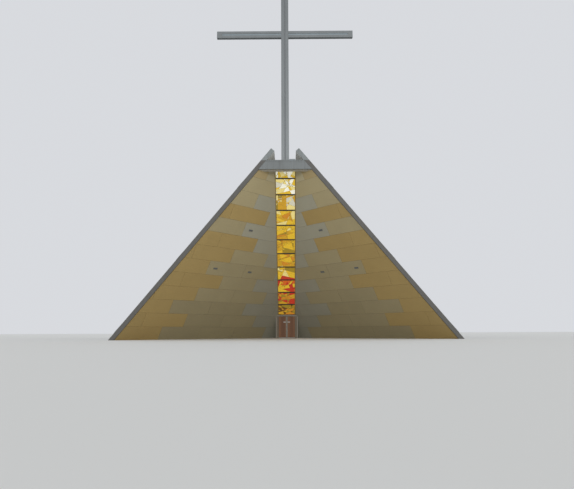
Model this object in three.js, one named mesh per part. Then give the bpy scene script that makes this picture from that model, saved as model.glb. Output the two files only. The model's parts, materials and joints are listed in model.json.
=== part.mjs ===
// Modern church: two steep roof slabs lean together over a folded, forward-leaning stone front,
// with a glazed strip up the fold, a small metal doorway at its foot and a tall cross on the ridge.
// Millimetres, +Z up, the front faces -Y. The plan is centred on the origin and stands on z = 0.
import * as THREE from 'three';
import { ConvexGeometry } from 'three/addons/geometries/ConvexGeometry.js';

// Clearance kept between pieces that bear on each other.
const SEAT = 0.3;

// Roof slabs, measured in the upright plane across the building.
const ROOF_PITCH = THREE.MathUtils.degToRad(49.8);
const HALF_WIDTH = 13450;
const ROOF_THICKNESS = 320;
const SLOT_HALF_WIDTH = 840;
const ROOF_PROUD = 100;
const BUILDING_LENGTH = 26900;

// Front walls: each is a flat plane that leans forward, turned 45 degrees in plan from the fold.
const FOLD_Y = 1025;
const FRONT_SLOPE = THREE.MathUtils.degToRad(56.2);
const WALL_THICKNESS = 300;
const WALL_TOP = 13400;

// Ridge between the slabs.
const CAP_BOTTOM = 12850;
const CAP_TOP = 13690;
const CAP_FRONT = -13520;
const CAP_THICKNESS = 110;

// Glazed strip in the fold.
const STRIP_HALF_WIDTH = 850;
const STILE_WIDTH = 70;
const FRAME_DEPTH = 150;
const GLASS_THICKNESS = 40;
const GLASS_RECESS = 40;
const GLASS_BOTTOM = 2240;
const GLASS_TOP = 13190;

// Doorway.
const PORTAL_HALF_WIDTH = 1050;
const PORTAL_HEIGHT = 2150;
const PORTAL_FRONT = -1875;
const JAMB_WIDTH = 260;
const JAMB_DEPTH = 120;
const LINTEL_HEIGHT = 95;
const HEAD_DEPTH = 205;
const FLOOR_THICKNESS = 60;

// Door leaves, each hung on a full-height hinge pin at its outer edge and opening outwards.
const LEAF_CLEARANCE = 5;
const LEAF_MEETING_GAP = 10;
const LEAF_THICKNESS = 50;
const LEAF_RECESS = 15;
const LEAF_END_CLEARANCE = 6;
const HINGE_RADIUS = 8;
const HINGE_SIDES = 16;
const STRIP_PLATE_WIDTH = 76;
const STRIP_PLATE_THICKNESS = 20;
const BAR_REACH = 320;
const BAR_HEIGHT = 80;
const BAR_LEVEL = 1520;

// Cross.
const CROSS_Y = -12375;
const CROSS_TOP = 30375;
const POST_WIDTH = 580;
const POST_DEPTH = 270;
const ARM_HEIGHT = 570;
const ARM_LEVEL = 25150;
const ARM_REACH = 5690;

// Wall lamps: level distance out from the fold and distance up the slope of a front wall.
const LAMP_WIDTH = 400;
const LAMP_HEIGHT = 160;
const LAMP_THICKNESS = 40;
const LAMP_PLACES = [
  { name: 'inner', along: 8300, up: 6860 },
  { name: 'outer', along: 11960, up: 6860 },
  { name: 'upper', along: 10000, up: 10620 },
];

// Finishes.
const STONE = { color: 0x99896a, roughness: 0.75, metalness: 0.0 };
const ROOFING = { color: 0x6b706e, roughness: 0.5, metalness: 0.6 };
const GREY_METAL = { color: 0x83878a, roughness: 0.4, metalness: 0.8 };
const DARK_METAL = { color: 0x3a3c3c, roughness: 0.5, metalness: 0.6 };
const COLOURED_GLASS = { color: 0xcfa23a, roughness: 0.2, metalness: 0.0 };
const DOOR_WOOD = { color: 0x5c3a2c, roughness: 0.6, metalness: 0.0 };
const CONCRETE = { color: 0x8c8b87, roughness: 0.9, metalness: 0.0 };

// Run of the roof for each millimetre of rise, and the soffit's half width at the ground.
const ROOF_RUN = 1 / Math.tan(ROOF_PITCH);
const SOFFIT_HALF_WIDTH = HALF_WIDTH - ROOF_THICKNESS / Math.sin(ROOF_PITCH);
// Forward lean of a front wall along Y for each millimetre of rise.
const LEAN = Math.SQRT2 / Math.tan(FRONT_SLOPE);
// Lengths along Y that a thickness square to the front wall and to the glazed strip takes up.
const WALL_DEPTH = WALL_THICKNESS * Math.sqrt(2 + LEAN * LEAN);
const STRIP_STRETCH = Math.sqrt(1 + LEAN * LEAN);
// Sideways gap that leaves SEAT square to the soffit.
const SOFFIT_GAP = SEAT / Math.sin(ROOF_PITCH);
const JAMB_INNER = PORTAL_HALF_WIDTH - JAMB_WIDTH;
const LINTEL_BOTTOM = PORTAL_HEIGHT - LINTEL_HEIGHT;
const LEAF_OUTER = JAMB_INNER - LEAF_CLEARANCE;
const LEAF_FRONT = PORTAL_FRONT + LEAF_RECESS;
// Hinge axis: the pin stands against the jamb, in front of the leaf.
const HINGE_X = JAMB_INNER - SEAT - HINGE_RADIUS;
const HINGE_Y = LEAF_FRONT - SEAT - HINGE_RADIUS;

const soffitX = (z) => SOFFIT_HALF_WIDTH - ROOF_RUN * z;
const outerX = (z) => HALF_WIDTH - ROOF_RUN * z;
const wallFront = (x, z) => FOLD_Y - Math.abs(x) - LEAN * z;
const wallBack = (x, z) => wallFront(x, z) + WALL_DEPTH;
const stripFront = (x, z) => FOLD_Y - STRIP_HALF_WIDTH - LEAN * z;

// Front end of a roof slab: a plane square to the slab, through the line where wall and soffit meet.
function slabFront(x, z) {
  const along = new THREE.Vector3(-ROOF_RUN, ROOF_RUN - LEAN, 1);
  const across = new THREE.Vector3(Math.sin(ROOF_PITCH), 0, Math.cos(ROOF_PITCH));
  const normal = along.cross(across);
  const foot = wallFront(SOFFIT_HALF_WIDTH, 0);
  const turn = normal.x * (x - SOFFIT_HALF_WIDTH) + normal.z * z;
  return foot - turn / normal.y - ROOF_PROUD;
}

// Corners of the roof slab's section at the ridge end, cut square to the slope.
const RIDGE_SOFFIT = { x: SLOT_HALF_WIDTH, z: (SOFFIT_HALF_WIDTH - SLOT_HALF_WIDTH) / ROOF_RUN };
const RIDGE_TIP = {
  x: RIDGE_SOFFIT.x + ROOF_THICKNESS * Math.sin(ROOF_PITCH),
  z: RIDGE_SOFFIT.z + ROOF_THICKNESS * Math.cos(ROOF_PITCH),
};
const FRONT_END = Math.min(slabFront(RIDGE_TIP.x, RIDGE_TIP.z), slabFront(RIDGE_SOFFIT.x, RIDGE_SOFFIT.z));
const REAR_END = FRONT_END + BUILDING_LENGTH;
const REAR_WALL_FACE = REAR_END - ROOF_PROUD;
const REAR_WALL_INNER = REAR_WALL_FACE - WALL_THICKNESS;

const church = new THREE.Group();
church.position.y = -(FRONT_END + REAR_END) / 2;

function place(name, geometry, finish) {
  const mesh = new THREE.Mesh(geometry, new THREE.MeshStandardMaterial(finish));
  mesh.name = name;
  church.add(mesh);
  return mesh;
}

// Solid with a section given as [x, z] corners, running along Y from front(x, z) to back(x, z).
function runAlongY(name, section, front, back, finish) {
  const corners = [];
  for (const [x, z] of section) {
    corners.push(new THREE.Vector3(x, front(x, z), z));
    corners.push(new THREE.Vector3(x, back(x, z), z));
  }
  return place(name, new ConvexGeometry(corners), finish);
}

function block(name, x, y, z, finish) {
  const geometry = new THREE.BoxGeometry(x[1] - x[0], y[1] - y[0], z[1] - z[0]);
  const mesh = place(name, geometry, finish);
  mesh.position.set((x[0] + x[1]) / 2, (y[0] + y[1]) / 2, (z[0] + z[1]) / 2);
  return mesh;
}

const mirrored = (side, section) => section.map(([x, z]) => [side * x, z]);
const span = (side, near, far) => (side > 0 ? [near, far] : [-far, -near]);
const at = (y) => () => y;

function roofSlab(sideName, side) {
  const section = [
    [HALF_WIDTH, 0],
    [SOFFIT_HALF_WIDTH, 0],
    [RIDGE_SOFFIT.x, RIDGE_SOFFIT.z],
    [RIDGE_TIP.x, RIDGE_TIP.z],
  ];
  const front = (x, z) => slabFront(Math.abs(x), z);
  runAlongY(`roof_${sideName}`, mirrored(side, section), front, at(REAR_END), ROOFING);
}

// Section that fills the width between the soffits from one level to another.
function betweenSoffits(bottom, top) {
  const low = soffitX(bottom) - SOFFIT_GAP;
  const high = soffitX(top) - SOFFIT_GAP;
  return [[-low, bottom], [low, bottom], [high, top], [-high, top]];
}

function ridge() {
  const capBack = CAP_FRONT + CAP_THICKNESS;
  const rearCapFront = REAR_WALL_FACE + SEAT;
  const rearCapBack = REAR_END - ROOF_PROUD / 5;
  const cap = betweenSoffits(CAP_BOTTOM, CAP_TOP);
  runAlongY('ridge_cap', cap, at(CAP_FRONT), at(capBack), GREY_METAL);
  runAlongY('rear_ridge_cap', cap, at(rearCapFront), at(rearCapBack), GREY_METAL);
  const deck = betweenSoffits(WALL_TOP, CAP_TOP);
  runAlongY('ridge_deck', deck, at(capBack + SEAT), at(REAR_WALL_FACE), GREY_METAL);
}

// Front wall beside the doorway and over it, up to the ridge deck.
function frontWall(sideName, side) {
  const lower = [
    [PORTAL_HALF_WIDTH, 0],
    [soffitX(0) - SOFFIT_GAP, 0],
    [soffitX(PORTAL_HEIGHT) - SOFFIT_GAP, PORTAL_HEIGHT],
    [PORTAL_HALF_WIDTH, PORTAL_HEIGHT],
  ];
  const bottom = PORTAL_HEIGHT + SEAT;
  const top = WALL_TOP - SEAT;
  const upper = [
    [STRIP_HALF_WIDTH, bottom],
    [soffitX(bottom) - SOFFIT_GAP, bottom],
    [soffitX(top) - SOFFIT_GAP, top],
    [STRIP_HALF_WIDTH, top],
  ];
  runAlongY(`front_wall_${sideName}_lower`, mirrored(side, lower), wallFront, wallBack, STONE);
  runAlongY(`front_wall_${sideName}_upper`, mirrored(side, upper), wallFront, wallBack, STONE);
}

function rearWall(sideName, side) {
  const top = WALL_TOP - SEAT;
  const section = [
    [STRIP_HALF_WIDTH, 0],
    [soffitX(0) - SOFFIT_GAP, 0],
    [soffitX(top) - SOFFIT_GAP, top],
    [STRIP_HALF_WIDTH, top],
  ];
  const outline = mirrored(side, section);
  runAlongY(`rear_wall_${sideName}`, outline, at(REAR_WALL_INNER), at(REAR_WALL_FACE), STONE);
}

// One piece of the leaning glazed strip, set back from its face by recess.
function stripPiece(name, x, z, recess, depth, finish) {
  const front = (px, pz) => stripFront(px, pz) + recess * STRIP_STRETCH;
  const back = (px, pz) => front(px, pz) + depth * STRIP_STRETCH;
  const section = [[x[0], z[0]], [x[1], z[0]], [x[1], z[1]], [x[0], z[1]]];
  runAlongY(name, section, front, back, finish);
}

function glazedStrip() {
  const bottom = PORTAL_HEIGHT + SEAT;
  const top = WALL_TOP - SEAT;
  const outer = STRIP_HALF_WIDTH - SEAT;
  const inner = STRIP_HALF_WIDTH - STILE_WIDTH;
  const between = [-inner + SEAT, inner - SEAT];
  for (const [sideName, side] of [['left', -1], ['right', 1]]) {
    const x = span(side, inner, outer);
    stripPiece(`strip_stile_${sideName}`, x, [bottom, top], 0, FRAME_DEPTH, DARK_METAL);
  }
  stripPiece('strip_sill_rail', between, [bottom, GLASS_BOTTOM], 0, FRAME_DEPTH, GREY_METAL);
  stripPiece('strip_head_rail', between, [GLASS_TOP, top], 0, FRAME_DEPTH, DARK_METAL);
  const pane = [GLASS_BOTTOM + SEAT, GLASS_TOP - SEAT];
  stripPiece('strip_glass', between, pane, GLASS_RECESS, GLASS_THICKNESS, COLOURED_GLASS);
}

function rearStrip() {
  const z = [0, WALL_TOP - SEAT];
  const outer = STRIP_HALF_WIDTH - SEAT;
  const inner = STRIP_HALF_WIDTH - STILE_WIDTH;
  const back = REAR_WALL_FACE;
  for (const [sideName, side] of [['left', -1], ['right', 1]]) {
    const x = span(side, inner, outer);
    block(`rear_stile_${sideName}`, x, [back - FRAME_DEPTH, back], z, DARK_METAL);
  }
  const glassBack = back - GLASS_RECESS;
  const glassY = [glassBack - GLASS_THICKNESS, glassBack];
  block('rear_glass', [-inner + SEAT, inner - SEAT], glassY, z, COLOURED_GLASS);
}

// Side wall of the doorway, from the metal frame back to the inside of the leaning front wall.
function portalCheek(sideName, side) {
  const outer = PORTAL_HALF_WIDTH - SEAT;
  const section = [[JAMB_INNER, 0], [outer, 0], [outer, LINTEL_BOTTOM], [JAMB_INNER, LINTEL_BOTTOM]];
  const front = at(PORTAL_FRONT + JAMB_DEPTH + SEAT);
  const back = (x, z) => wallBack(x, z) - SEAT;
  runAlongY(`portal_cheek_${sideName}`, mirrored(side, section), front, back, CONCRETE);
}

function doorFrame() {
  const outer = PORTAL_HALF_WIDTH - SEAT;
  const y = [PORTAL_FRONT, PORTAL_FRONT + JAMB_DEPTH];
  for (const [sideName, side] of [['left', -1], ['right', 1]]) {
    block(`door_jamb_${sideName}`, span(side, JAMB_INNER, outer), y, [0, LINTEL_BOTTOM], GREY_METAL);
  }
  const z = [LINTEL_BOTTOM + SEAT, PORTAL_HEIGHT];
  const headY = [y[1] + SEAT, y[1] + HEAD_DEPTH];
  block('door_lintel', [-outer, outer], y, z, GREY_METAL);
  block('portal_head', [-outer, outer], headY, z, CONCRETE);
}

function threshold() {
  const half = JAMB_INNER - SEAT;
  const back = (x, z) => wallBack(x, z) - SEAT;
  const corners = [];
  for (const z of [0, FLOOR_THICKNESS]) {
    for (const x of [-half, half]) {
      corners.push(new THREE.Vector3(x, PORTAL_FRONT, z));
      corners.push(new THREE.Vector3(x, back(x, z), z));
    }
    corners.push(new THREE.Vector3(0, back(0, z), z));
  }
  place('threshold', new ConvexGeometry(corners), CONCRETE);
}

function floorHalf(sideName, side) {
  const section = [
    [SEAT / 2, 0],
    [soffitX(0) - SOFFIT_GAP, 0],
    [soffitX(FLOOR_THICKNESS) - SOFFIT_GAP, FLOOR_THICKNESS],
    [SEAT / 2, FLOOR_THICKNESS],
  ];
  const front = (x, z) => wallBack(x, z) + SEAT * Math.SQRT2;
  const back = at(REAR_WALL_INNER - SEAT);
  runAlongY(`floor_${sideName}`, mirrored(side, section), front, back, CONCRETE);
}

function doorLeaf(sideName, side) {
  const near = LEAF_MEETING_GAP / 2;
  const z = [FLOOR_THICKNESS + LEAF_END_CLEARANCE, LINTEL_BOTTOM - LEAF_END_CLEARANCE];
  const y = [LEAF_FRONT, LEAF_FRONT + LEAF_THICKNESS];
  block(`door_leaf_${sideName}`, span(side, near, LEAF_OUTER), y, z, DOOR_WOOD);
  const plateY = [LEAF_FRONT - STRIP_PLATE_THICKNESS - SEAT, LEAF_FRONT - SEAT];
  const plateEnd = near + STRIP_PLATE_WIDTH;
  block(`door_strip_${sideName}`, span(side, near, plateEnd), plateY, z, GREY_METAL);
  const barZ = [BAR_LEVEL - BAR_HEIGHT / 2, BAR_LEVEL + BAR_HEIGHT / 2];
  block(`door_bar_${sideName}`, span(side, plateEnd + SEAT, BAR_REACH), plateY, barZ, GREY_METAL);
  const pinHeight = z[1] - z[0];
  const pin = new THREE.CylinderGeometry(HINGE_RADIUS, HINGE_RADIUS, pinHeight, HINGE_SIDES);
  const hinge = place(`door_hinge_${sideName}`, pin.rotateX(Math.PI / 2), DARK_METAL);
  hinge.position.set(side * HINGE_X, HINGE_Y, (z[0] + z[1]) / 2);
}

function cross() {
  const y = [CROSS_Y - POST_DEPTH / 2, CROSS_Y + POST_DEPTH / 2];
  const half = POST_WIDTH / 2;
  block('cross_post', [-half, half], y, [CAP_TOP + SEAT, CROSS_TOP], GREY_METAL);
  const armZ = [ARM_LEVEL - ARM_HEIGHT / 2, ARM_LEVEL + ARM_HEIGHT / 2];
  for (const [sideName, side] of [['left', -1], ['right', 1]]) {
    block(`cross_arm_${sideName}`, span(side, half + SEAT, ARM_REACH), y, armZ, GREY_METAL);
  }
}

// Flat lamp on the face of a front wall, turned with the wall.
function wallLamp(sideName, side, spot) {
  const across = new THREE.Vector3(1, -side, 0).normalize();
  const outward = new THREE.Vector3(-side, -1, -LEAN).normalize();
  const upward = new THREE.Vector3().crossVectors(outward, across);
  const geometry = new THREE.BoxGeometry(LAMP_WIDTH, LAMP_HEIGHT, LAMP_THICKNESS);
  const lamp = place(`lamp_${sideName}_${spot.name}`, geometry, DARK_METAL);
  lamp.quaternion.setFromRotationMatrix(new THREE.Matrix4().makeBasis(across, upward, outward));
  lamp.position.set(0, FOLD_Y, 0);
  lamp.position.addScaledVector(across, side * spot.along);
  lamp.position.addScaledVector(upward, spot.up);
  lamp.position.addScaledVector(outward, LAMP_THICKNESS / 2 + SEAT);
}

for (const [sideName, side] of [['left', -1], ['right', 1]]) {
  roofSlab(sideName, side);
  frontWall(sideName, side);
  rearWall(sideName, side);
  floorHalf(sideName, side);
  portalCheek(sideName, side);
  doorLeaf(sideName, side);
  for (const spot of LAMP_PLACES) {
    wallLamp(sideName, side, spot);
  }
}
ridge();
glazedStrip();
rearStrip();
doorFrame();
threshold();
cross();

export default church;
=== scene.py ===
"""Modern church: two steep roof slabs, a folded stone front, a glazed strip, a doorway and a ridge cross."""
import json
import logging
import math
import random
from dataclasses import dataclass
from enum import Enum
from functools import cached_property
from typing import Callable, Iterable, Sequence

import bmesh
import bpy
from mathutils import Matrix, Vector

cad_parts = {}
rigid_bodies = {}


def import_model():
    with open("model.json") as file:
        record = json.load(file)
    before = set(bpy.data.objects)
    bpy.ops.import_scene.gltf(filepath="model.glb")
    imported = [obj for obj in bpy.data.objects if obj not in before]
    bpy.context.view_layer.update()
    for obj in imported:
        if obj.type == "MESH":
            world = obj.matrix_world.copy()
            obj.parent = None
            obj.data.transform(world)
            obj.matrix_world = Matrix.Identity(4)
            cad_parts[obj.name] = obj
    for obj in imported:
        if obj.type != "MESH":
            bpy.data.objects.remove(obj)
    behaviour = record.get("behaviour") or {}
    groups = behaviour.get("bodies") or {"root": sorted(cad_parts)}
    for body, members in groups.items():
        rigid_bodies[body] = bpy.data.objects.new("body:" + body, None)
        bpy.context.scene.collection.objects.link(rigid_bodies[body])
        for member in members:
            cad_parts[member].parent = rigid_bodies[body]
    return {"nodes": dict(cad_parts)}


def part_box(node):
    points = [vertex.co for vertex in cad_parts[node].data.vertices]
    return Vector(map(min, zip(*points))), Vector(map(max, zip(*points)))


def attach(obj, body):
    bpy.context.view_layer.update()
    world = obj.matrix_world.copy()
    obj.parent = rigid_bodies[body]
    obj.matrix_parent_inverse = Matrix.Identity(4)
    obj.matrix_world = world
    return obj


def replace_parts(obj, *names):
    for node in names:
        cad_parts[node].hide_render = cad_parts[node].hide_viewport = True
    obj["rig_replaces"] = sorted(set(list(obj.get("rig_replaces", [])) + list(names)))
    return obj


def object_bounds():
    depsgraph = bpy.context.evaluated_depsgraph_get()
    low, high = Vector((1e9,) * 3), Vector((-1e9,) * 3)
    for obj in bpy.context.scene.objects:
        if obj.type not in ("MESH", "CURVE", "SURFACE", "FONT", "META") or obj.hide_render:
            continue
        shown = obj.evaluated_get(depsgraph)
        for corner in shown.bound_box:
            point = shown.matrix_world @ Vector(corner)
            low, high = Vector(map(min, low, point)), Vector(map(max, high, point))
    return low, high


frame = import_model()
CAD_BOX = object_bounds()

logging.basicConfig(level=logging.INFO, format="%(message)s")
LOG = logging.getLogger("church")

SIDES = {"left": -1, "right": 1}
BUILDING = "building"
RIGHT = Vector((1, 0, 0))
REAR = Vector((0, 1, 0))
UP = Vector((0, 0, 1))
Pair = tuple[float, float]
Triple = tuple[float, float, float]
Colour = tuple[float, float, float, float]
Test = Callable[[Vector, Vector], bool]
Values = dict[int | str, object]
Material = bpy.types.Material


def paint(code: str) -> Colour:
    """Turns a paint chart's code, six hexadecimal digits with red first, into linear shader colour."""
    parts = (int(code[i : i + 2], 16) / 255 for i in (0, 2, 4))
    return (*(v / 12.92 if v <= 0.04045 else ((v + 0.055) / 1.055) ** 2.4 for v in parts), 1.0)


# Shader graphs


class Signal:
    """One output of a shader graph, with arithmetic that adds Math nodes."""

    def __init__(self, graph: "ShaderGraph", socket: bpy.types.NodeSocket) -> None:
        """Keeps the graph and the output socket."""
        self.graph = graph
        self.socket = socket

    def math(self, operation: str, first: "Signal | float", second: "Signal | float") -> "Signal":
        """Adds one Math node."""
        return self.graph.add("ShaderNodeMath", {"operation": operation}, {0: first, 1: second})

    def __add__(self, other: "Signal | float") -> "Signal":
        """self + other."""
        return self.math("ADD", self, other)

    __radd__ = __add__

    def __sub__(self, other: "Signal | float") -> "Signal":
        """self - other."""
        return self.math("SUBTRACT", self, other)

    def __rsub__(self, other: "Signal | float") -> "Signal":
        """other - self."""
        return self.math("SUBTRACT", other, self)

    def __mul__(self, other: "Signal | float") -> "Signal":
        """self * other."""
        return self.math("MULTIPLY", self, other)

    __rmul__ = __mul__

    def above(self, edge: float, softness: float) -> "Signal":
        """Gives 0 below an edge and 1 above it, with a soft step between."""
        inputs = {"Value": self, "From Min": edge - softness / 2, "From Max": edge + softness / 2}
        return self.graph.add("ShaderNodeMapRange", {"clamp": True}, inputs)


class ShaderGraph:
    """A material's node tree, built one node at a time."""

    def __init__(self, name: str) -> None:
        """Starts an empty material.

        Args:
            name: The material's name.
        """
        self.material = bpy.data.materials.new(name)
        self.material.use_nodes = True
        self.tree = self.material.node_tree
        self.tree.nodes.clear()

    def add(
        self, kind: str, settings: Values | None = None, inputs: Values | None = None, output: int | str = 0
    ) -> Signal:
        """Adds a node of any type.

        Args:
            kind: The node's type.
            settings: Its own properties, set first.
            inputs: Values or signals by socket name or number.
            output: The output wanted.

        Returns:
            That output as a signal.
        """
        node = self.tree.nodes.new(kind)
        for key, value in (settings or {}).items():
            setattr(node, key, value)
        for key, value in (inputs or {}).items():
            if isinstance(value, Signal):
                self.tree.links.new(value.socket, node.inputs[key])
            else:
                node.inputs[key].default_value = value
        return Signal(self, node.outputs[output])

    def place(self, scale: Triple = (1, 1, 1), turn: Triple = (0, 0, 0)) -> Signal:
        """Object coordinates, turned in radians and scaled."""
        where = self.add("ShaderNodeTexCoord", output="Object")
        return self.add("ShaderNodeMapping", None, {"Vector": where, "Scale": scale, "Rotation": turn})

    def noise(self, where: Signal, scale: float, detail: float = 3.0, roughness: float = 0.5) -> Signal:
        """Soft noise from 0 to 1 at the given coordinates; a larger scale is finer."""
        inputs = {"Vector": where, "Scale": scale, "Detail": detail, "Roughness": roughness}
        return self.add("ShaderNodeTexNoise", {"noise_dimensions": "3D"}, inputs, "Fac")

    def attribute(self, name: str, output: str = "Fac") -> Signal:
        """A value that the mesh carries."""
        return self.add("ShaderNodeAttribute", {"attribute_name": name}, output=output)

    def blend(
        self, amount: Signal | float, first: Signal | Colour, second: Signal | Colour, how: str = "MIX"
    ) -> Signal:
        """Mixes two colours by the share of the second one."""
        settings = {"data_type": "RGBA", "blend_type": how, "clamp_factor": True}
        return self.add("ShaderNodeMix", settings, {0: amount, 6: first, 7: second}, 2)

    def shade(self, colour: Signal | Colour, value: Signal) -> Signal:
        """Multiplies a colour by a value."""
        grey = self.add("ShaderNodeCombineColor", {"mode": "RGB"}, {0: value, 1: value, 2: value})
        return self.blend(1.0, colour, grey, "MULTIPLY")

    def bump(self, height: Signal, distance: float, strength: float) -> Signal:
        """Surface relief from a height of 0 to 1, its depth in metres and the share of it that shows."""
        inputs = {"Height": height, "Distance": distance, "Strength": strength}
        return self.add("ShaderNodeBump", None, inputs, "Normal")

    def surface(
        self,
        colour: Signal | Colour,
        roughness: Signal | float,
        relief: Signal | None = None,
        others: Values | None = None,
    ) -> Material:
        """Ends the graph in one shader.

        Args:
            colour: The base colour.
            roughness: The roughness.
            relief: The normal.
            others: Further sockets by name.

        Returns:
            The finished material.
        """
        inputs = {"Base Color": colour, "Roughness": roughness} | ({"Normal": relief} if relief else {})
        shader = self.add("ShaderNodeBsdfPrincipled", None, inputs | (others or {}))
        end = self.tree.nodes.new("ShaderNodeOutputMaterial")
        self.tree.links.new(shader.socket, end.inputs["Surface"])
        return self.material


# Finishes


@dataclass(frozen=True)
class StoneFacing:
    """Stone facing panels. The panel's own attribute says how ochre, how grey and how light it is; its
    lightness holds painted light that darkens the low courses and lightens the high ones.
    """

    name: str = "stone_facing"
    cream: str = "A69A78"
    ochre: str = "A68F5D"
    grey: str = "9F9C8B"
    darkest: float = 0.4
    gain: float = 0.8
    joint_shade: float = 0.4
    roughness: float = 0.72
    relief: float = 0.0015

    def material(self) -> Material:
        """Builds the finish with fine grain, faint clouds and level veins.

        Returns:
            The material.
        """
        graph = ShaderGraph(self.name)
        tone = graph.attribute("tone", "Color")
        parts = (graph.add("ShaderNodeSeparateColor", None, {"Color": tone}, part) for part in range(3))
        ochre, grey, shade = parts
        joint = graph.attribute("joint")
        where = graph.place()
        clouds = graph.noise(where, 0.8, 4.0)
        grain = graph.noise(where, 160.0, 2.0, 0.7)
        veins = graph.noise(graph.place((1.0, 1.0, 5.0)), 2.4, 5.0, 0.6)
        body = graph.blend(ochre, paint(self.cream), paint(self.ochre))
        body = graph.blend(grey, body, paint(self.grey))
        # The shade holds painted light by height as well as each panel's random tone.
        level = self.darkest + shade * self.gain + clouds * 0.1 + grain * 0.12 + veins * 0.08
        colour = graph.shade(body, level * (1.0 - joint * self.joint_shade))
        relief = graph.bump(grain * 0.6 + clouds * 0.4, self.relief, 0.5)
        return graph.surface(colour, self.roughness + grain * 0.12, relief, {"Specular IOR Level": 0.3})


@dataclass(frozen=True)
class SheetMetal:
    """Folded metal sheet, with faint waves, dust and runs down its height."""

    name: str
    colour: str
    roughness: float
    metallic: float
    dirt_share: float = 0.35
    dirt: str = "5B5A55"
    relief: float = 0.004

    def material(self) -> Material:
        """Builds the finish.

        Returns:
            The material.
        """
        graph = ShaderGraph(self.name)
        waves = graph.noise(graph.place((1.0, 1.0, 0.25)), 1.1, 3.0)
        runs = graph.noise(graph.place((9.0, 9.0, 0.5)), 1.0, 4.0, 0.6)
        dust = graph.noise(graph.place(), 38.0, 4.0, 0.65)
        soiled = (runs * 0.6 + dust * 0.4).above(0.56, 0.3) * self.dirt_share
        colour = graph.blend(soiled, graph.shade(paint(self.colour), 0.88 + waves * 0.24), paint(self.dirt))
        roughness = self.roughness + dust * 0.16 + soiled * 0.3
        relief = graph.bump(waves * 0.8 + dust * 0.2, self.relief, 0.35)
        return graph.surface(colour, roughness, relief, {"Metallic": self.metallic})


@dataclass(frozen=True)
class Concrete:
    """Smooth cast concrete, plaster or pale board."""

    name: str
    colour: str
    mottle: float = 0.22
    roughness: float = 0.82
    relief: float = 0.002

    def material(self) -> Material:
        """Builds the finish with mottling and pores.

        Returns:
            The material.
        """
        graph = ShaderGraph(self.name)
        where = graph.place()
        clouds = graph.noise(where, 1.3, 5.0, 0.6)
        grit = graph.noise(where, 120.0, 3.0, 0.7)
        pores = graph.noise(where, 46.0, 2.0).above(0.7, 0.05)
        level = 1.0 - self.mottle / 2 + clouds * self.mottle + grit * 0.1 - pores * 0.12
        colour = graph.shade(paint(self.colour), level)
        relief = graph.bump(grit - pores, self.relief, 0.5)
        return graph.surface(colour, self.roughness + grit * 0.12, relief, {"Specular IOR Level": 0.25})


@dataclass(frozen=True)
class DoorTimber:
    """Stained upright boards with long grain. The board's own attribute sets its tone."""

    name: str = "door_timber"
    dark: str = "492D1B"
    light: str = "82593A"
    relief: float = 0.0012

    def material(self) -> Material:
        """Builds the finish.

        Returns:
            The material.
        """
        graph = ShaderGraph(self.name)
        grain = graph.noise(graph.place((26.0, 26.0, 1.1)), 3.0, 6.0, 0.65)
        fibre = graph.noise(graph.place((120.0, 120.0, 3.0)), 2.0, 3.0, 0.6)
        share = grain * 0.75 + graph.attribute("board") * 0.5 - 0.12
        colour = graph.shade(graph.blend(share, paint(self.dark), paint(self.light)), 0.85 + fibre * 0.3)
        relief = graph.bump(grain * 0.5 + fibre * 0.5, self.relief, 0.6)
        return graph.surface(colour, 0.5 + fibre * 0.2, relief, {"Specular IOR Level": 0.35})


@dataclass(frozen=True)
class ArtGlass:
    """Coloured glass with painted light: it glows in its own tint as if lit from behind, though no lamp is
    there. Each piece's tint is its own attribute; streaks and seeds run through it.
    """

    name: str = "art_glass"
    painted_backlight: float = 0.47
    roughness: float = 0.18
    relief: float = 0.003

    def material(self) -> Material:
        """Builds the finish.

        Returns:
            The material.
        """
        graph = ShaderGraph(self.name)
        streaks = graph.noise(graph.place((7.0, 2.0, 2.0), (0.3, 0.0, 0.5)), 2.6, 4.0, 0.6)
        seeds = graph.noise(graph.place(), 24.0, 3.0, 0.6)
        colour = graph.shade(graph.attribute("tint", "Color"), 0.66 + streaks * 0.5 + seeds * 0.18)
        relief = graph.bump(streaks * 0.6 + seeds * 0.4, self.relief, 0.4)
        # Painted light: the glass glows by its own colour as if lit from behind.
        light = {"Emission Color": colour, "Emission Strength": self.painted_backlight}
        return graph.surface(colour, self.roughness, relief, light)


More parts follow.
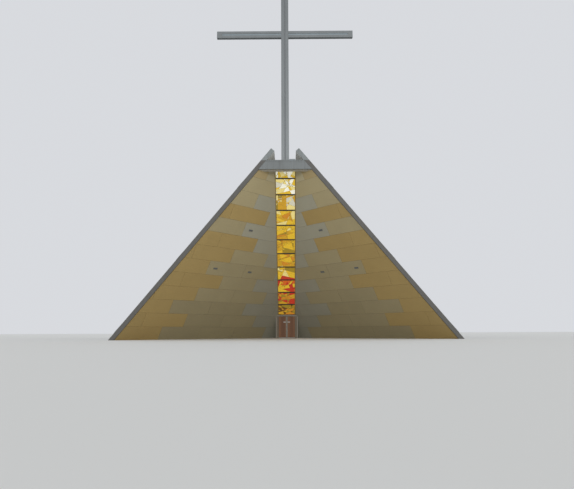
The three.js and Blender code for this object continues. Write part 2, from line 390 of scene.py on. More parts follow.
class Finish(Enum):
    """The building's finishes."""

    STONE = StoneFacing()
    TIMBER = DoorTimber()
    GLASS = ArtGlass()
    ROOFING = SheetMetal("roof_sheet", "5F6564", 0.45, 0.55)
    VERGE = SheetMetal("verge_flashing", "5F5E5B", 0.5, 0.3)
    # Lighter copy of the verge flashing for the horns above the cap: painted light for the glare on the tips
    # against the sky.
    HORN = SheetMetal("verge_flashing_painted_light", "7A8081", 0.42, 0.45)
    # The channel lining's pale colour is painted light, for the glare seen in the ridge channel.
    LINING = SheetMetal("channel_lining", "DCDDD8", 0.6, 0.0, 0.15)
    CAP = SheetMetal("cap_cladding", "727778", 0.42, 0.45)
    CROSS = SheetMetal("cross_metal", "7D8284", 0.38, 0.6, 0.2)
    ARM_INLAY = SheetMetal("cross_inlay", "88949A", 0.35, 0.2, 0.1)
    # Painted shade: the post's groove takes a slightly darker, duller copy of the cross metal.
    POST_GROOVE = SheetMetal("cross_groove_painted_shade", "7C8083", 0.45, 0.4, 0.2)
    DARK = SheetMetal("dark_metal", "3C3D3B", 0.45, 0.4, 0.2)
    STILE = SheetMetal("strip_stile_metal", "94804F", 0.5, 0.2, 0.15)
    LAMP = SheetMetal("lamp_body", "767770", 0.5, 0.3, 0.2)
    LENS = SheetMetal("lamp_lens", "626668", 0.4, 0.0, 0.1)
    DOOR_FRAME = SheetMetal("door_frame_metal", "858178", 0.4, 0.4, 0.15)
    DOOR_STRIP = SheetMetal("door_strip_metal", "656259", 0.4, 0.3, 0.15)
    DOOR_BAR = SheetMetal("door_bar_metal", "99968F", 0.4, 0.3, 0.1)
    SIDE_PANEL = Concrete("door_side_panel", "6F675A", 0.15)
    CONCRETE = Concrete("cast_concrete", "8D8A83")
    PLASTER = Concrete("wall_plaster", "B8B1A2", 0.12)
    PALE_BOARD = Concrete("pale_board", "B3AFA5")
    SCREED = Concrete("floor_screed", "9A968E")

    @cached_property
    def material(self) -> Material:
        """The finish's material, built once, when it is first asked for."""
        return self.value.material()


# Modelling

# Least cosine of the angle between a face's normal and the way that it is said to look
FLAT = 0.98
# Gap between a sheet and the surface behind it
GAP = 0.0005
# How an edge is rounded: by two faces, where it is sharper than this angle
ROUNDING = {"segments": 2, "limit_method": "ANGLE", "angle_limit": math.radians(35)}


class Keep(Enum):
    """What a cut leaves."""

    BOTH = "both"
    BEHIND = "behind"
    AHEAD = "ahead"


Plane = tuple[Vector, Vector, Keep]


def facing(way: Vector, limit: float = math.inf) -> Test:
    """Gives a test for faces that look one way and lie short of a distance along it."""
    return lambda middle, normal: normal.dot(way) > FLAT and middle.dot(way) < limit


def both(*names: str) -> list[str]:
    """Names of both sides' nodes, from names with a star in the side's place."""
    return [name.replace("*", side) for name in names for side in SIDES]


def axes(origin: Vector, across: Vector, up: Vector) -> Matrix:
    """Makes the placement of a flat face from its zero and its first two axes; the third points outwards."""
    first, second = across.normalized(), up.normalized()
    return Matrix.Translation(origin) @ Matrix((first, second, first.cross(second))).transposed().to_4x4()


def above(level: float) -> Plane:
    """Makes the level plane that keeps what is above it."""
    return UP * level, UP, Keep.AHEAD


def beside(face: Matrix, distance: float, keep: Keep) -> Plane:
    """Makes the plane at a distance in front of a placed face, and says what it keeps."""
    return face.translation + face.col[2].xyz * distance, face.col[2].xyz, keep


class Part:
    """One new piece, started as a block and shaped by cuts, insets and modifiers."""

    def __init__(
        self, name: str, corner: Iterable[float], other: Iterable[float], place: Matrix | None = None
    ) -> None:
        """Adds the block.

        Args:
            name: The piece's name.
            corner: A corner in the placement's own axes.
            other: The opposite corner.
            place: The placement, or None for the building's axes.
        """
        self.deselect()
        corner, other = Vector(corner), Vector(other)
        size = [abs(length) for length in other - corner]
        bpy.ops.mesh.primitive_cube_add(size=1.0, location=(corner + other) / 2, scale=size)
        self.obj = bpy.context.object
        self.obj.name = self.obj.data.name = name
        self.obj.matrix_world = (place or Matrix()) @ self.obj.matrix_world
        bpy.ops.object.transform_apply(location=True, rotation=True, scale=True)

    @staticmethod
    def deselect() -> None:
        """Leaves nothing selected."""
        for obj in list(bpy.context.selected_objects):
            obj.select_set(False)

    def activate(self) -> None:
        """Makes this piece the only selected one."""
        self.deselect()
        self.obj.select_set(True)
        bpy.context.view_layer.objects.active = self.obj

    def edit(self) -> None:
        """Opens the mesh for editing with all of it selected."""
        self.activate()
        bpy.ops.object.mode_set(mode="EDIT")
        bpy.ops.mesh.select_mode(type="FACE")
        bpy.ops.mesh.select_all(action="SELECT")

    def close(self) -> "Part":
        """Closes the mesh with its faces pointing outwards.

        Returns:
            The piece itself.
        """
        bpy.ops.mesh.select_all(action="SELECT")
        bpy.ops.mesh.normals_make_consistent(inside=False)
        bpy.ops.object.mode_set(mode="OBJECT")
        return self

    def select(self, wanted: Test) -> None:
        """Selects faces of the open mesh.

        Args:
            wanted: Test of a face's middle and normal.
        """
        bpy.ops.mesh.select_all(action="DESELECT")
        mesh = bmesh.from_edit_mesh(self.obj.data)
        mesh.normal_update()
        for face in mesh.faces:
            face.select_set(wanted(face.calc_center_median(), face.normal))
        bmesh.update_edit_mesh(self.obj.data)

    @staticmethod
    def cut(point: Vector, normal: Vector, keep: Keep = Keep.BOTH) -> None:
        """Cuts what is selected by a plane.

        Args:
            point: A point of the plane.
            normal: The plane's normal.
            keep: Which side stays.
        """
        bpy.ops.mesh.bisect(
            plane_co=point,
            plane_no=normal,
            use_fill=keep is not Keep.BOTH,
            clear_outer=keep is Keep.BEHIND,
            clear_inner=keep is Keep.AHEAD,
        )

    def trim(self, planes: Iterable[Plane]) -> "Part":
        """Cuts the whole piece by planes.

        Args:
            planes: Point, normal and side kept of each.

        Returns:
            The piece itself.
        """
        self.edit()
        for plane in planes:
            bpy.ops.mesh.select_all(action="SELECT")
            self.cut(*plane)
        return self.close()

    def split(self, points: Iterable[Vector], normal: Vector) -> "Part":
        """Marks joint lines where parallel planes through some points cross the piece."""
        return self.trim([(point, normal, Keep.BOTH) for point in points])

    def divide(self, start: Vector, way: Vector, step: float, count: int) -> "Part":
        """Marks a number of joint lines, one at each step along a way from a start."""
        return self.split([start + way * step * number for number in range(1, count + 1)], way)

    def work(self, wanted: Test, operator: Callable, settings: Values) -> "Part":
        """Runs an operator on some faces.

        Args:
            wanted: Test of the faces.
            operator: The operator.
            settings: Its settings by name.

        Returns:
            The piece itself.
        """
        self.edit()
        self.select(wanted)
        operator(**settings)
        return self.close()

    def sink(self, wanted: Test, shift: Vector) -> "Part":
        """Presses faces in, or pulls them out, with walls of their own."""
        move = {"TRANSFORM_OT_translate": {"value": shift}}
        return self.work(wanted, bpy.ops.mesh.extrude_region_move, move)

    def inset(self, wanted: Test, width: float, depth: float) -> "Part":
        """Gives each wanted face a border and moves its middle out by a depth."""
        border = {"thickness": width, "depth": depth, "use_individual": True, "use_even_offset": True}
        return self.work(wanted, bpy.ops.mesh.inset, border)

    def modify(self, kind: str, settings: Values) -> "Part":
        """Adds a modifier and applies it.

        Args:
            kind: The modifier's type.
            settings: Its settings by name.

        Returns:
            The piece itself.
        """
        self.activate()
        modifier = self.obj.modifiers.new(kind.lower(), kind)
        for key, value in settings.items():
            setattr(modifier, key, value)
        bpy.ops.object.modifier_apply(modifier=modifier.name)
        return self

    def soften(self, width: float) -> "Part":
        """Rounds the sharp edges to a width."""
        return self.modify("BEVEL", {"width": width} | ROUNDING)

    def join(self, others: Iterable["Part"]) -> "Part":
        """Takes other pieces into this one.

        Args:
            others: The pieces, which are gone afterwards.

        Returns:
            The piece itself.
        """
        self.activate()
        for other in others:
            other.obj.select_set(True)
        bpy.ops.object.join()
        return self

    def label(self, name: str, value: Callable[[Vector, Vector], float | Colour]) -> "Part":
        """Stores a number or a colour on every face, as an attribute of its corners.

        Args:
            name: The attribute's name.
            value: Value from a face's middle and normal.

        Returns:
            The piece itself.
        """
        values = [value(face.center.copy(), face.normal.copy()) for face in self.obj.data.polygons]
        kind, key = ("FLOAT", "value") if isinstance(values[0], float) else ("FLOAT_COLOR", "color")
        store = self.obj.data.attributes.new(name, kind, "CORNER")
        for face, found in zip(self.obj.data.polygons, values):
            for corner in face.loop_indices:
                setattr(store.data[corner], key, found)
        return self

    def coat(self, *finishes: Finish, pick: Test | None = None) -> "Part":
        """Gives the piece its finishes.

        Args:
            finishes: One or two finishes.
            pick: Tells from a face's middle and normal whether it takes the second one.

        Returns:
            The piece itself.
        """
        self.obj.data.materials.clear()
        for finish in finishes:
            self.obj.data.materials.append(finish.material)
        if pick:
            for face in self.obj.data.polygons:
                face.material_index = int(pick(face.center.copy(), face.normal.copy()))
        return self

    def fix(self, slot: str, body: str = BUILDING, replaces: Iterable[str] = ()) -> None:
        """Fixes the finished piece to a body of the frame.

        Args:
            slot: The record's material slot; it is not used.
            body: The body that it rides on.
            replaces: CAD nodes that it stands for.
        """
        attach(self.obj, body)
        if replaces:
            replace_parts(self.obj, *replaces)
        LOG.info("%s: %d faces on %s", self.obj.name, len(self.obj.data.polygons), body)


# The building


@dataclass(frozen=True)
class Layout:
    """Main lines of the building, in metres. A side is -1 on the left and 1 on the right.

    For each metre of rise the roof comes inwards by its run, and the front walls forwards by their lean. The
    soffit's foot is its place on the ground, and the slope's length is the soffit's from there to the ridge.
    """

    pitch: float = math.radians(49.8)
    half_width: float = 13.45
    slab: float = 0.32
    slot: float = 0.84
    slope: float = math.radians(56.2)
    run: float = 1 / math.tan(pitch)
    lean: float = math.sqrt(2) / math.tan(slope)
    soffit_foot: float = half_width - slab / math.sin(pitch)
    slope_length: float = (soffit_foot - slot) / math.cos(pitch)
    fold: float = 1.025
    course: float = 1.25
    strip: float = 0.85
    cap_low: float = 12.85
    cap_top: float = 13.69
    portal: float = 1.05
    portal_top: float = 2.15
    portal_front: float = -1.875
    proud: float = 0.1
    roof_front: float = fold - soffit_foot - proud
    shift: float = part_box("door_jamb_left")[0].y - portal_front
    wall_margin: float = 0.002

    def rise(self, side: int) -> Vector:
        """Direction up a roof slope."""
        return Vector((-side * math.cos(self.pitch), 0, math.sin(self.pitch)))

    def soffit(self, side: int, margin: float = 0.0) -> Plane:
        """Plane of a roof slab's underside, which keeps what is below it, less a margin."""
        normal = Vector((side * math.sin(self.pitch), 0, math.cos(self.pitch)))
        return Vector((side * self.soffit_foot, 0, 0)) - normal * margin, normal, Keep.BEHIND

    def soffits(self) -> list[Plane]:
        """Planes of both undersides, less the gap."""
        return [self.soffit(side, GAP) for side in SIDES.values()]

    def wall_edges(self, side: int, low: float, high: float) -> list[Plane]:
        """Planes round one half of a wall, from a low level to a high one."""
        inner = (RIGHT * side * self.strip, RIGHT * side, Keep.AHEAD)
        return [above(low), self.soffit(side, self.wall_margin), inner, (UP * high, UP, Keep.BEHIND)]

    def front_face(self, side: int) -> Matrix:
        """Placement of a front wall's face, from the foot of the fold."""
        across, outward = Vector((1, -side, 0)).normalized(), Vector((-side, -1, -self.lean)).normalized()
        return axes(Vector((0, self.fold + self.shift, 0)), across, outward.cross(across))

    def strip_face(self) -> Matrix:
        """Placement of the glazed strip's face."""
        return axes(REAR * (self.fold - self.strip + self.shift), RIGHT, Vector((0, -self.lean, 1)))

    def rear_face(self, y: float) -> Matrix:
        """Placement of an upright face that looks to the rear."""
        return axes(REAR * y, -RIGHT, UP)

    def roof_face(self, side: int) -> Matrix:
        """Placement of a roof slab's outer face, from its foot."""
        return axes(RIGHT * side * self.half_width, REAR * side, self.rise(side))

    def through(self, side: int) -> Vector:
        """Direction through a roof slab, square to its slope."""
        return Vector((math.sin(self.pitch), 0, side * math.cos(self.pitch)))

    def verge_face(self, side: int) -> Matrix:
        """Placement of a roof slab's front end, from the soffit's foot."""
        foot = Vector((side * self.soffit_foot, self.roof_front + self.shift, 0))
        return axes(foot, self.through(side), Vector((-side * self.run, self.run - self.lean, 1)))

    def rear_verge_face(self, side: int) -> Matrix:
        """Placement of a roof slab's rear end, from the soffit's foot."""
        foot = Vector((side * self.soffit_foot, CAD_BOX[1][1], 0))
        return axes(foot, -self.through(side), self.rise(side))


LAYOUT = Layout()


@dataclass
class Sided:
    """What is built once for each side, by the side's name and its hand."""

    name: str
    side: int


class Tone(Enum):
    """Stone tones: share of ochre, share of grey, shade at the foot and what each course adds to it. What each
    course adds is painted light: the panels are painted darker near the ground and lighter up the wall.
    """

    CREAM = (0.0, 0.0, 0.175, 0.052)
    OCHRE = (1.0, 0.0, 0.4, 0.026)
    GREY = (0.0, 1.0, 0.175, 0.052)


@dataclass
class PanelWall:
    """Stone facing of one wall: level courses of long panels in half bond.

    Each course says how many panels from the fold are grey, and how many lead up to the ochre ones.
    The top course has at least a share of grey, and is painted a little lighter, a painted light against the
    shadow under the cap. The upright joints shift by the drift for each course away from the steady one. The
    gate is a block that is left out.
    """

    name: str
    side: int
    place: Matrix
    planes: list[Plane]
    courses: Sequence[tuple[int, int]]
    drift: float = 0.0
    gate: tuple[Triple, Triple] | None = None
    top_grey_and_painted_light: Pair = (0.0, 0.0)
    reach: float = 18.6
    foot: float = -1.5
    head: float = 17.0
    panel: float = 3.75
    panels: int = 6
    first: float = 1.45
    steady: int = 5
    back: float = 0.001
    sheet: float = 0.011
    proud: float = 0.014
    joint: float = 0.013
    spread: float = 0.035

    def joints(self, course: int) -> list[float]:
        """Distances from the fold of a course's upright joints, smallest first."""
        start = self.first + (0.0 if course % 2 else self.panel / 2) + self.drift * (self.steady - course)
        return [start + self.panel * step for step in range(self.panels)]

    def course_at(self, middle: Vector) -> int:
        """Number of the course that a point lies in, from the ground."""
        return int((self.place.inverted() @ middle).y // LAYOUT.course)

    def tone(self, middle: Vector) -> Colour:
        """Chooses a panel's tone.

        Args:
            middle: A point of the panel.

        Returns:
            Shares of ochre and grey, the shade, and full alpha.
        """
        course, along = self.course_at(middle), abs((self.place.inverted() @ middle).x)
        panel = sum(along > joint for joint in self.joints(course))
        greys, others = self.courses[min(course, len(self.courses) - 1)]
        tone = Tone.GREY if panel < greys else Tone.OCHRE if panel >= others else Tone.CREAM
        ochre, grey, foot, gain = tone.value
        if course >= len(self.courses) - 1:
            # Top course: a share of grey, and painted light that lifts its shade against the shadow under the
            # cap.
            grey, foot = max(grey, self.top_grey_and_painted_light[0]), foot + self.top_grey_and_painted_light[1]
        chance = random.Random(f"{self.name} {course} {panel}")
        # Painted light: the shade rises with each course, so low panels are darker and high ones lighter; the
        # spread is random tone.
        shade = foot + gain * course + chance.uniform(-self.spread, self.spread)
        return (ochre, grey, min(max(shade, 0.0), 1.0), 1.0)

    def build(self) -> None:
        """Cuts the sheet into panels, sets the joints back and dresses it."""
        across, up, outward = self.place.to_3x3().col
        origin, end = self.place.translation, self.side * self.reach
        part = Part(self.name, (0.0, self.foot, self.back), (end, self.head, self.sheet), self.place)
        part.trim(self.planes)
        if self.gate:
            cutter = Part("cutter", *self.gate)
            part.modify("BOOLEAN", {"object": cutter.obj, "operation": "DIFFERENCE", "solver": "EXACT"})
            bpy.data.objects.remove(cutter.obj)
        part.divide(origin, up, LAYOUT.course, len(self.courses) - 1).edit()
        for number in range(len(self.courses)):
            for joint in self.joints(number):
                part.select(lambda middle, _: self.course_at(middle) == number)
                part.cut(origin + across * self.side * joint, across)
        part.close().inset(facing(outward), self.joint / 2, self.proud)
        part.label("tone", lambda middle, _: self.tone(middle))
        part.label("joint", lambda _, normal: 0.0 if normal.dot(outward) > FLAT else 1.0)
        part.coat(Finish.STONE).fix("stone")


@dataclass
class FrontWall(Sided):
    """A leaning front wall with its facing and its lamps."""

    courses: tuple[tuple[int, int], ...] = (
        (1, 4), (2, 4), (2, 4), (2, 4), (2, 3), (2, 4), (2, 3),
        (3, 3), (3, 9), (3, 3), (3, 9), (0, 9), (0, 3),
    )
    drift: float = 0.0375
    # Share of grey in the top course, and the painted light added to its shade.
    top_grey_and_painted_light: Pair = (0.3, 0.06)
    low: float = 0.004
    high: float = 13.3
    gate_foot: float = -1.0
    gate_depth: Pair = (-6.0, 3.0)
    lamps: tuple[tuple[str, float, float], ...] = (
        ("inner", 8.3, 6.86),
        ("outer", 11.96, 6.86),
        ("upper", 10.0, 10.62),
    )
    lamp_size: Triple = (0.2, 0.08, 0.0405)
    rim: float = 0.022
    lens: float = 0.008

    def build(self) -> None:
        """Builds the facing and the lamps."""
        wall = f"front_facing_{self.name}", self.side, LAYOUT.front_face(self.side)
        planes = LAYOUT.wall_edges(self.side, self.low, self.high)
        near, far = self.gate_depth
        gate = (-LAYOUT.portal, near, self.gate_foot), (LAYOUT.portal, far, LAYOUT.portal_top)
        PanelWall(*wall, planes, self.courses, self.drift, gate, self.top_grey_and_painted_light).build()
        for lamp in self.lamps:
            self.lamp(*lamp)

    def lamp(self, spot: str, along: float, up: float) -> None:
        """Builds one flat lamp with a rim and a lens set back.

        Args:
            spot: Name of its place.
            along: Level distance from the fold.
            up: Distance up the slope.
        """
        place, x = LAYOUT.front_face(self.side), self.side * along
        outward = place.col[2].xyz
        wide, tall, deep = self.lamp_size
        centre = place @ Vector((x, up, deep))
        corners = (x - wide, up - tall, GAP), (x + wide, up + tall, deep)
        part = Part(f"lamp_body_{self.name}_{spot}", *corners, place).inset(facing(outward), self.rim, 0.0)
        part.sink(
            lambda middle, normal: normal.dot(outward) > FLAT and (middle - centre).length < self.rim,
            outward * -self.lens,
        )
        part.coat(Finish.LAMP, Finish.LENS, pick=facing(outward, centre.dot(outward) - self.lens / 2))
        part.fix("dark_metal", replaces=[f"lamp_{self.name}_{spot}"])


class GlassTint(Enum):
    """Glass colours, from clear to deep."""

    WHITE = "E8E6D4"
    PEARL = "C4C0AC"
    STRAW = "D8C67C"
    YELLOW = "D0AA2C"
    GOLD = "BC9026"
    OLIVE = "937B26"
    AMBER = "BE7E24"
    ORANGE = "C45E22"
    RED = "B23624"
    UMBER = "62401E"


WHITE, PEARL, STRAW, YELLOW, GOLD, OLIVE, AMBER, ORANGE, RED, UMBER = GlassTint


@dataclass(frozen=True)
class TintBand:
    """Glass colours used up to a share of a window's height, with their weights."""

    top: float
    tints: tuple[tuple[GlassTint, float], ...]

    def pick(self, chance: random.Random) -> Colour:
        """Draws one colour."""
        tints, weights = zip(*self.tints)
        return paint(chance.choices(tints, weights)[0].value)


BANDS = (
    TintBand(0.08, ((UMBER, 3), (OLIVE, 3), (GOLD, 3), (AMBER, 2))),
    TintBand(0.18, ((OLIVE, 3), (AMBER, 2), (GOLD, 2), (RED, 2))),
    TintBand(0.28, ((YELLOW, 4), (GOLD, 2), (RED, 3), (ORANGE, 2))),
    TintBand(0.38, ((YELLOW, 4), (STRAW, 2), (OLIVE, 2), (RED, 1))),
    TintBand(0.62, ((YELLOW, 5), (GOLD, 3), (OLIVE, 1), (AMBER, 1))),
    TintBand(0.765, ((YELLOW, 9), (GOLD, 1), (AMBER, 1), (STRAW, 1))),
    TintBand(0.866, ((PEARL, 3), (GOLD, 3), (STRAW, 2), (OLIVE, 1))),
    TintBand(0.962, ((WHITE, 5), (PEARL, 3), (STRAW, 2), (YELLOW, 3))),
    TintBand(2.0, ((WHITE, 5), (STRAW, 2), (YELLOW, 2))),
)


@dataclass
class GlassField:
    """A row of panes, each of leaded pieces cut by slanting lines, and the bars between them.

    The first few lines go right through a pane, and each of the others runs only one way from its point.
    """

    name: str
    bars_name: str
    node: str
    place: Matrix
    half: float
    levels: list[float]
    bar: float
    glass: Pair
    bar_depth: Pair
    rounding: float
    lines: int = 20
    through: int = 4
    turns: tuple[float, ...] = (0.3, -0.45, 0.1, 1.15, -1.25, 1.9)
    sway: float = 0.15
    stop: float = 0.2
    lead: float = 0.004
    rearward: float = -0.5

    def build(self) -> None:
        """Builds the panes and the bars."""
        for number in range(len(self.levels) - 1):
            self.pane(number)
        edge, (back, front), bars = self.bar / 2, self.bar_depth, []
        for level in self.levels[1:-1]:
            corners = (-self.half, level - edge, back), (self.half, level + edge, front)
            bars.append(Part(self.bars_name, *corners, self.place).soften(self.rounding))
        bars[0].join(bars[1:]).coat(Finish.DARK).fix("dark_metal")

    def pane(self, number: int) -> None:
        """Builds one pane.

        Args:
            number: Its number, from the lowest.
        """
        outward = self.place.col[2].xyz
        back, front = self.glass
        foot = self.levels[number] + (self.bar / 2 if number else 0.0)
        head = self.levels[number + 1] - (self.bar / 2 if number < len(self.levels) - 2 else 0.0)
        chance = random.Random(f"{self.name} {number}")
        corners = (-self.half, foot, back), (self.half, head, front)
        part = Part(f"{self.name}_{number + 1:02d}", *corners, self.place)
        part.edit()
        for line in range(self.lines):
            across, up = chance.uniform(-self.half, self.half), chance.uniform(foot, head)
            point = self.place @ Vector((across, up, 0))
            turn = chance.choice(self.turns) + chance.uniform(-self.sway, self.sway)
            normal = self.place.to_3x3() @ Vector((math.cos(turn), math.sin(turn), 0))
            guard = self.place.to_3x3() @ Vector((-math.sin(turn), math.cos(turn), 0))
            reach = chance.uniform(-self.stop, self.stop) if line >= self.through else -math.inf
            part.select(lambda middle, _: (middle - point).dot(guard) > reach)
            part.cut(point, normal)
        part.close().inset(facing(outward), self.lead, -self.lead)
        part.label("tint", lambda middle, _: self.tint(chance, middle))
        clear = facing(outward, (self.place @ Vector((0, 0, front))).dot(outward) - self.lead / 2)

        def leaded(middle: Vector, normal: Vector) -> bool:
            """Tells the leads and edges from the glass and its back."""
            return not clear(middle, normal) and normal.dot(outward) > self.rearward

        part.coat(Finish.GLASS, Finish.DARK, pick=leaded)
        part.fix("coloured_glass", replaces=() if number else [self.node])

    def tint(self, chance: random.Random, middle: Vector) -> Colour:
        """Draws the colour of the piece of glass round a point, by its height."""
        share = ((self.place.inverted() @ middle).y - self.levels[0]) / (self.levels[-1] - self.levels[0])
        return next(band for band in BANDS if share <= band.top).pick(chance)


@dataclass
class GlazedStrip:
    """The leaning glazed strip in the fold: panes and cross bars."""

    bar: float = 0.1
    low: float = 2.24
    first_bar: float = 3.147
    step: float = 1.0646
    bars: int = 10
    high: float = 13.19
    glass: Pair = (-0.08, -0.04)
    bar_depth: Pair = (-0.09, -0.002)
    rounding: float = 0.01

    def build(self) -> None:
        """Builds the strip."""
        stretch = math.sqrt(1 + LAYOUT.lean**2)
        between = [self.first_bar + self.step * number for number in range(self.bars)]
        levels = [level * stretch for level in [self.low] + between + [self.high]]
        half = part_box("strip_glass")[1].x
        names = ("strip_pane", "strip_cross_bars", "strip_glass")
        sizes = levels, self.bar, self.glass, self.bar_depth, self.rounding
        GlassField(*names, LAYOUT.strip_face(), half, *sizes).build()


@dataclass
class RearGable:
    """The upright rear wall: the same facing, and a window strip with bars."""

    courses: int = 11
    narrower: int = 7
    bar: float = 0.08
    step: float = 1.25
    bars: int = 10
    glass: Pair = (-0.04, 0.0)
    bar_depth: Pair = (-0.04, 0.035)
    rounding: float = 0.008

    def build(self) -> None:
        """Builds the facing and the window."""
        place = LAYOUT.rear_face(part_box("rear_wall_left")[1].y)
        courses = [(1 + number % 2, 3 if number < self.narrower else 2) for number in range(self.courses)]
        for name, side in SIDES.items():
            planes = LAYOUT.wall_edges(side, 0.0, LAYOUT.cap_low)
            PanelWall(f"rear_facing_{name}", -side, place, planes, courses).build()
        _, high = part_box("rear_glass")
        levels = [self.step * number for number in range(self.bars + 1)] + [high.z]
        names = ("rear_pane", "rear_window_bars", "rear_glass")
        sizes = levels, self.bar, self.glass, self.bar_depth, self.rounding
        GlassField(*names, LAYOUT.rear_face(high.y), high.x, *sizes).build()


@dataclass
class RoofSlope(Sided):
    """A roof slope's upright seams, the lining of the ridge channel and the flashings at the slab's ends."""

    seam_pitch: float = 0.56
    seam_start: float = 0.3
    seam_foot: float = -0.5
    seam_width: float = 0.035
    seam_height: float = 0.028
    seam_edge: float = 0.006
    flashing: float = 0.008
    overlap: float = 0.012
    segment: float = 2.5
    joint: float = 0.006
    proud: float = 0.005
    below: float = 1.5
    length: float = 24.0
    lap: float = 0.01
    lining_reach: float = 40.0
    lining_gap: float = 0.02
    lining_end: float = 0.05
    lining_joints: int = 10
    verge_joints: int = 7

    def build(self) -> None:
        """Builds what is on the slope."""
        self.seams()
        self.lining()
        self.verge("front", LAYOUT.verge_face(self.side), self.side)
        self.verge("rear", LAYOUT.rear_verge_face(self.side), -self.side)

    def seams(self) -> None:
        """Builds the standing seams."""
        length = LAYOUT.slope_length + LAYOUT.slab / math.tan(LAYOUT.pitch)
        start = CAD_BOX[0][1] + self.seam_start
        middle, half = self.side * start, self.seam_width / 2
        corners = (middle - half, self.seam_foot, 0.0), (middle + half, length, self.seam_height)
        part = Part(f"roof_seams_{self.name}", *corners, LAYOUT.roof_face(self.side)).soften(self.seam_edge)
        row = {"use_relative_offset": False, "use_constant_offset": True}
        row |= {"count": int((CAD_BOX[1][1] - start) / self.seam_pitch)}
        part.modify("ARRAY", row | {"constant_offset_displace": REAR * self.seam_pitch})
        part.trim([above(0.0), beside(LAYOUT.verge_face(self.side), 0.0, Keep.BEHIND)])
        part.coat(Finish.ROOFING).fix("roofing")

    def lining(self) -> None:
        """Builds the sheet that lines the slope's side of the ridge channel; its pale finish is painted light.
        """
        point, normal, _ = LAYOUT.soffit(self.side)
        up, reach = LAYOUT.rise(self.side), self.lining_reach
        corners = (-reach, 0.0, GAP), (reach, LAYOUT.slope_length - self.lining_gap, self.flashing)
        part = Part(f"channel_lining_{self.name}", *corners, axes(point, up.cross(-normal), up))
        rear = (REAR * (CAD_BOX[1][1] - self.lining_end), REAR, Keep.BEHIND)
        front = beside(LAYOUT.verge_face(self.side), -self.lap, Keep.BEHIND)
        part.trim([rear, front, above(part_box("ridge_deck")[1].z + self.lining_gap)])
        part.divide(REAR * CAD_BOX[0][1], REAR, self.segment, self.lining_joints)
        part.inset(facing(-normal), self.joint, self.proud).coat(Finish.LINING).fix("roofing")

    def verge(self, end: str, place: Matrix, hand: int) -> None:
        """Builds the flashing on one end of the slab, painted lighter above the cap as painted light.

        Args:
            end: The end's name.
            place: Placement of that end.
            hand: 1 where the slab lies on the placement's positive side.
        """
        _, up, outward = place.to_3x3().col
        far = hand * (LAYOUT.slab + self.overlap)
        corners = (-self.overlap * hand, -self.below, GAP), (far, self.length, self.flashing)
        part = Part(f"{end}_verge_{self.name}", *corners, place)
        square = LAYOUT.rise(self.side)
        tip = Vector((self.side * LAYOUT.slot, 0, (LAYOUT.soffit_foot - LAYOUT.slot) / LAYOUT.run))
        part.trim([above(0.0), (tip + square * self.lap, square, Keep.BEHIND)])
        part.divide(place.translation, up, self.segment, self.verge_joints).split([UP * LAYOUT.cap_top], UP)
        part.inset(facing(outward), self.joint, self.proud)
        # Above the cap the flashing takes the lighter finish: painted light on the horns.
        part.coat(Finish.VERGE, Finish.HORN, pick=lambda middle, _: middle.z > LAYOUT.cap_top).fix("roofing")


@dataclass
class RidgeCap:
    """A sheet-metal cap at one end of the ridge channel, with upright joints and a folded top edge.

    The lift is how far its lower edge is above that of the piece that it stands for.
    """

    name: str
    node: str
    hand: int
    lift: float = 0.0
    joints: tuple[float, ...] = (-1.5, -0.5, 0.5, 1.5)
    joint: float = 0.008
    proud: float = 0.006
    overhang: float = 0.03
    rim: float = 0.14
    sheet: float = 0.012
    lip: float = 0.07

    def build(self) -> None:
        """Builds the cap, which faces the front where its hand is -1 and the rear where it is 1."""
        low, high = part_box(self.node)
        low.z += self.lift
        planes = LAYOUT.soffits()
        sheet = Part(self.name, low, high).trim(planes)
        sheet.split([RIGHT * joint for joint in self.joints], RIGHT)
        sheet.inset(facing(REAR * self.hand), self.joint, self.proud)
        face = low.y if self.hand < 0 else high.y
        edge, back = face + self.hand * self.overhang, face - self.hand * self.rim
        rim = Part("rim", (low.x, edge, high.z), (high.x, back, high.z + self.sheet)).trim(planes)
        inner = edge - self.hand * self.sheet
        lip = Part("lip", (low.x, edge, high.z - self.lip), (high.x, inner, high.z)).trim(planes)
        sheet.join([rim, lip]).coat(Finish.CAP).fix("grey_metal", replaces=[self.node])


@dataclass
class RidgeEnds:
    """The caps at both ends of the ridge channel, the board under the front one and the plate on it."""

    lift: float = 0.11
    board: float = 0.015
    board_depth: float = 0.6
    board_gap: float = 0.02
    plate: Pair = (0.33, 0.79)
    plate_depth: float = 0.5
    plate_gap: float = 0.012
    plate_top: float = 0.1
    plate_edge: float = 0.008
    base_margin: float = 0.02
    base_front: float = 0.034
    base_edge: float = 0.004

    def build(self) -> None:
        """Builds the caps, the board and the plate beside the post."""
        RidgeCap("cap_cladding", "ridge_cap", -1, self.lift).build()
        self.underside()
        RidgeCap("rear_cap_cladding", "rear_ridge_cap", 1).build()
        front, top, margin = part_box("ridge_cap")[0].y, LAYOUT.cap_top, self.base_margin
        (left, right), back, gap = self.plate, front + self.plate_depth, self.plate_gap
        plate = Part("cap_cover_plate", (left, front + gap, top + gap), (right, back, top + self.plate_top))
        plate.soften(self.plate_edge).coat(Finish.CAP).fix("grey_metal")
        corners = (left - margin, front - self.base_front, top - margin), (right + margin, back, top + margin)
        Part("cap_cover_base", *corners).soften(self.base_edge).coat(Finish.ARM_INLAY).fix("grey_metal")

    def underside(self) -> None:
        """Builds the pale board under the front cap; its pale finish is painted light against the shade under
        the cap.
        """
        low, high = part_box("ridge_cap")
        foot, near, far = low.z + self.lift, low.y + self.board_gap, low.y + self.board_depth
        part = Part("cap_underside", (low.x, near, foot), (high.x, far, foot + self.board))
        walls = [beside(LAYOUT.front_face(side), self.board_gap, Keep.AHEAD) for side in SIDES.values()]
        # Painted light: the pale finish lightens the board where the cap shades it.
        part.trim(LAYOUT.soffits() + walls).coat(Finish.PALE_BOARD).fix("grey_metal")


